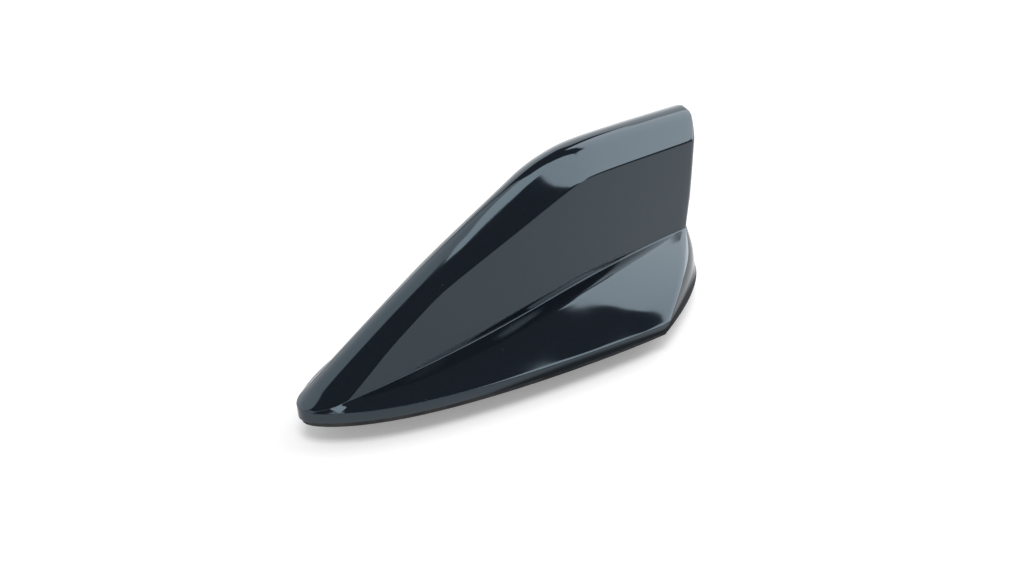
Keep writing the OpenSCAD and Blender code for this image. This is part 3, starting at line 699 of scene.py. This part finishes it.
@dataclass(frozen=True)
class Room:
    """The room that the gloss mirrors, dark but for four bright areas.

    The window on the right is drawn on the plane x = 1, where along is y / x and height is z / x. The
    window overhead is drawn on the plane z = 1. Pairs are where an edge fades in or out.
    """

    dark: Colour = (0.09, 0.1, 0.12, 1.0)
    back: Colour = (1.8, 1.85, 1.9, 1.0)
    left: Colour = (1.6, 1.65, 1.7, 1.0)
    window: Colour = (3.6, 3.7, 3.8, 1.0)
    soft: Colour = (0.5, 0.5, 0.51, 1.0)
    least: float = 0.001
    top_slope: float = 0.88
    top_start: float = 1.83
    top_least: float = 1.05
    top_corner: tuple[float, float] = (-1.5, -1.38)
    top_beyond: float = 6.0
    sill_front: tuple[float, float] = (-0.75, -0.45)
    sill_half: float = 0.2
    sill_rear: tuple[float, float] = (0.07, 0.11)
    sill_rise: float = 1.18
    sill_slope: float = -1.3
    sill_start: float = -1.579
    window_end: tuple[float, float] = (0.22, 0.27)
    over_front_slope: float = 1.45
    over_front: tuple[float, float] = (-0.75, -0.69)
    over_back_slope: float = -2.5
    over_back: tuple[float, float] = (0.3, 0.38)
    over_middle: tuple[float, float] = (-0.04, 0.0)
    over_right_slope: float = 0.75
    over_right: tuple[float, float] = (0.06, 0.1)
    left_x: tuple[float, float] = (-0.08, 0.0)
    left_y: tuple[float, float] = (-0.3, -0.18)
    back_turn: tuple[float, float] = (93.0, 96.0)
    ceiling_turn: tuple[float, float] = (114.0, 122.0)
    ceiling: tuple[float, float] = (46.0, 54.0)
    ceiling_fade: float = 3.0

    def right_window(self, n: Nodes, x: object, y: object, z: object) -> bpy.types.NodeSocket:
        """Returns 1 in the window on the right."""
        along = n.math("DIVIDE", y, n.math("MAXIMUM", x, self.least))
        height = n.math("DIVIDE", z, n.math("MAXIMUM", x, self.least))
        top = n.math("MAXIMUM", n.line(self.top_slope, along, self.top_start), self.top_least)
        top = n.math("MAXIMUM", top, n.step(along, *self.top_corner, self.top_beyond, self.top_least))
        sill = n.math("ADD", n.step(along, *self.sill_front, self.sill_half, -self.sill_half),
                      n.step(along, *self.sill_rear, 0.0, self.sill_rise))
        sill = n.math("MAXIMUM", sill, n.line(self.sill_slope, along, self.sill_start))
        return n.product(n.step(along, *self.window_end, 1.0, 0.0),
                         n.step(n.math("SUBTRACT", height, sill), 0.0, 0.06),
                         n.step(n.math("SUBTRACT", top, height), 0.0, 0.05),
                         n.step(x, 0.0, 0.02))

    def overhead_window(self, n: Nodes, x: object, y: object, z: object) -> bpy.types.NodeSocket:
        """Returns 1 in the window overhead."""
        up = n.math("MAXIMUM", z, self.least)
        over_x, over_y = n.math("DIVIDE", x, up), n.math("DIVIDE", y, up)
        front = n.line(self.over_front_slope, over_x, over_y)
        back = n.line(self.over_back_slope, over_x, over_y)
        right = n.line(self.over_right_slope, over_y, over_x)
        return n.product(n.step(front, *self.over_front), n.step(back, *self.over_back, 1.0, 0.0),
                         n.step(over_y, *self.over_middle, 1.0, 0.0),
                         n.step(right, *self.over_right, 1.0, 0.0))

    def back_wall(self, n: Nodes, x: object, y: object, z: object) -> bpy.types.NodeSocket:
        """Returns 1 on the wall at the back, up to its ceiling."""
        to_degrees = 180 / math.pi
        turn = n.math("MULTIPLY", n.math("ARCTAN2", x, n.math("MULTIPLY", y, -1.0)), to_degrees)
        rise = n.math("MULTIPLY", n.math("ARCSINE", z), to_degrees)
        ceiling = n.step(turn, *self.ceiling_turn, *self.ceiling)
        under = n.step(n.math("SUBTRACT", ceiling, rise), 0.0, self.ceiling_fade)
        return n.product(n.step(turn, *self.back_turn), under)

    def build(self) -> None:
        """Makes the world: white behind the object, even light on it, this room in its gloss."""
        world = bpy.data.worlds.new("room")
        bpy.context.scene.world = world
        world.use_nodes = True
        n = Nodes(world.node_tree)
        x, y, z = n.add("SeparateXYZ", i0=n.add("TexCoord").outputs["Generated"]).outputs
        room = n.blend(self.back_wall(n, x, y, z), self.dark, self.back)
        pale = n.product(n.step(x, *self.left_x, 1.0, 0.0), n.step(y, *self.left_y))
        room = n.blend(pale, room, self.left)
        windows = n.math("MAXIMUM", self.right_window(n, x, y, z), self.overhead_window(n, x, y, z))
        room = n.blend(windows, room, self.window)
        rays = n.add("LightPath")
        seen = n.blend(rays.outputs["Is Glossy Ray"], self.soft, room)
        clear = n.math("MAXIMUM", rays.outputs["Is Camera Ray"], rays.outputs["Is Transmission Ray"])
        background = n.add("Background", Color=n.blend(clear, seen, WHITE), Strength=1.0)
        n.add("OutputWorld", Surface=background.outputs[0])


@dataclass(frozen=True)
class Lamp:
    """A soft box that looks at a point and isn't mirrored: places in metres, power in watts."""

    name: str
    where: Point
    size: tuple[float, float]
    power: float
    aim: Point = (0.0, 0.0, 0.02)

    def build(self) -> bpy.types.Object:
        """Adds the lamp and returns it."""
        data = bpy.data.lights.new(self.name, "AREA")
        data.shape, data.energy = "RECTANGLE", self.power
        data.size, data.size_y = self.size
        lamp = bpy.data.objects.new(self.name, data)
        lamp.location = self.where
        way = Vector(self.aim) - Vector(self.where)
        lamp.rotation_euler = way.to_track_quat("-Z", "Y").to_euler()
        lamp.visible_glossy = False
        bpy.context.scene.collection.objects.link(lamp)
        return lamp


@dataclass(frozen=True)
class Floor:
    """The plain pale floor, in metres. In the gloss it carries a painted shadow: a dark patch close under the
    rim that only reflections see.
    """

    half: float = 3.0
    shadow_x: float = 0.02
    shadow_l: float = 0.066
    shadow_w: float = 0.047
    shadow_edge: tuple[float, float] = (0.85, 1.1)
    far_edge: tuple[float, float] = (60.0, 500.0)
    lit: Colour = (0.9, 0.9, 0.9, 1.0)
    shown: Colour = (0.95, 0.95, 0.95, 1.0)
    # colour of the painted shadow that reflections see on the floor close under the rim
    shadow: Colour = (0.15, 0.15, 0.15, 1.0)
    seen_glow: tuple[float, float] = (0.24, 0.8)
    mirrored_glow: float = 0.12

    def material(self) -> bpy.types.Material:
        """Returns the floor's finish, which lights the object no more than a plain card does."""
        material = bpy.data.materials.new("pale_floor")
        material.use_nodes = True
        n = Nodes(material.node_tree)
        rays = n.add("LightPath")
        seen = n.math("MAXIMUM", rays.outputs["Is Camera Ray"], rays.outputs["Is Transmission Ray"])
        mirrored = rays.outputs["Is Glossy Ray"]
        place = n.add("SeparateXYZ", i0=n.coordinates())
        along = n.line(1 / self.shadow_l, place.outputs[0], -self.shadow_x / self.shadow_l)
        across = n.math("MULTIPLY", place.outputs[1], 1 / self.shadow_w)
        reach = n.math("ADD", n.product(along, along), n.product(across, across))
        # painted shadow: for glossy rays only, the floor turns dark inside an oval close under the rim
        under = n.product(mirrored, n.step(reach, *self.shadow_edge, 1.0, 0.0))
        tone = n.blend(n.math("MAXIMUM", seen, mirrored), self.lit, self.shown)
        card = n.add("BsdfDiffuse", Color=n.blend(under, tone, self.shadow))
        shown = n.product(seen, n.step(reach, *self.far_edge, *self.seen_glow))
        glow = n.line(self.mirrored_glow, n.math("SUBTRACT", mirrored, under), shown)
        glow = n.add("Emission", Color=WHITE, Strength=glow)
        both = n.add("AddShader", i0=card.outputs[0], i1=glow.outputs[0])
        n.add("OutputMaterial", Surface=both.outputs[0])
        return material

    def build(self) -> bpy.types.Object:
        """Lays the floor under the foot and returns it."""
        bm = bmesh.new()
        bmesh.ops.create_grid(bm, x_segments=1, y_segments=1, size=self.half)
        floor = MeshWork.finish(bm, "floor", smooth=False)
        floor.data.materials.append(self.material())
        return floor


@dataclass(frozen=True)
class Camera:
    """The photograph's camera: angles in degrees, place in metres, focal length in pixels."""

    turn: float = -40.5
    rise: float = 29.0
    where: Point = (-0.15569, -0.17866, 0.15157)
    focal: float = 900.0
    frame_width: float = 1024.0
    sensor: float = 36.0

    def build(self) -> bpy.types.Object:
        """Stands the camera where the photograph was taken from and returns it."""
        turn, rise = math.radians(self.turn), math.radians(self.rise)
        level = math.cos(rise)
        back = Vector((math.sin(turn) * level, -math.cos(turn) * level, math.sin(rise)))
        right = Vector((math.cos(turn), math.sin(turn), 0.0))
        up = back.cross(right)
        data = bpy.data.cameras.new("camera")
        data.sensor_width, data.lens = self.sensor, self.sensor * self.focal / self.frame_width
        data.clip_start, data.clip_end = 0.01, 20.0
        camera = bpy.data.objects.new("camera", data)
        turned_to = Matrix((right, up, back)).transposed().to_4x4()
        camera.matrix_world = Matrix.Translation(self.where) @ turned_to
        bpy.context.scene.collection.objects.link(camera)
        bpy.context.scene.camera = camera
        return camera


class Studio:
    """The camera, the floor, the room and the lamps."""

    LAMPS = (
        Lamp("overhead", (-0.3, -0.4, 1.1), (0.4, 0.4), 5.5),
        Lamp("right_box", (1.2, -0.3, 1.2), (1.2, 1.0), 8.0),
    )

    def build(self) -> None:
        """Sets up everything that isn't the antenna."""
        Camera().build()
        Floor().build()
        Room().build()
        for lamp in self.LAMPS:
            lamp.build()
        bpy.context.scene.view_settings.view_transform = "Standard"


def dress_nodes(nodes: dict[str, bpy.types.Object]) -> None:
    """Gives every shown CAD node its finish.

    Args:
        nodes: The CAD nodes by name.
    """
    for name, finish in DRESS.items():
        mesh = nodes[name].data
        mesh.materials.clear()
        mesh.materials.append(finish.material())
        LOG.info("%s: %s", name, finish.name)


def main() -> None:
    """Builds and dresses the antenna."""
    logging.basicConfig(level=logging.INFO, format="%(message)s")
    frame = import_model()
    Studio().build()
    FinCover().build()
    dress_nodes(frame["nodes"])


if __name__ == "__main__":
    main()
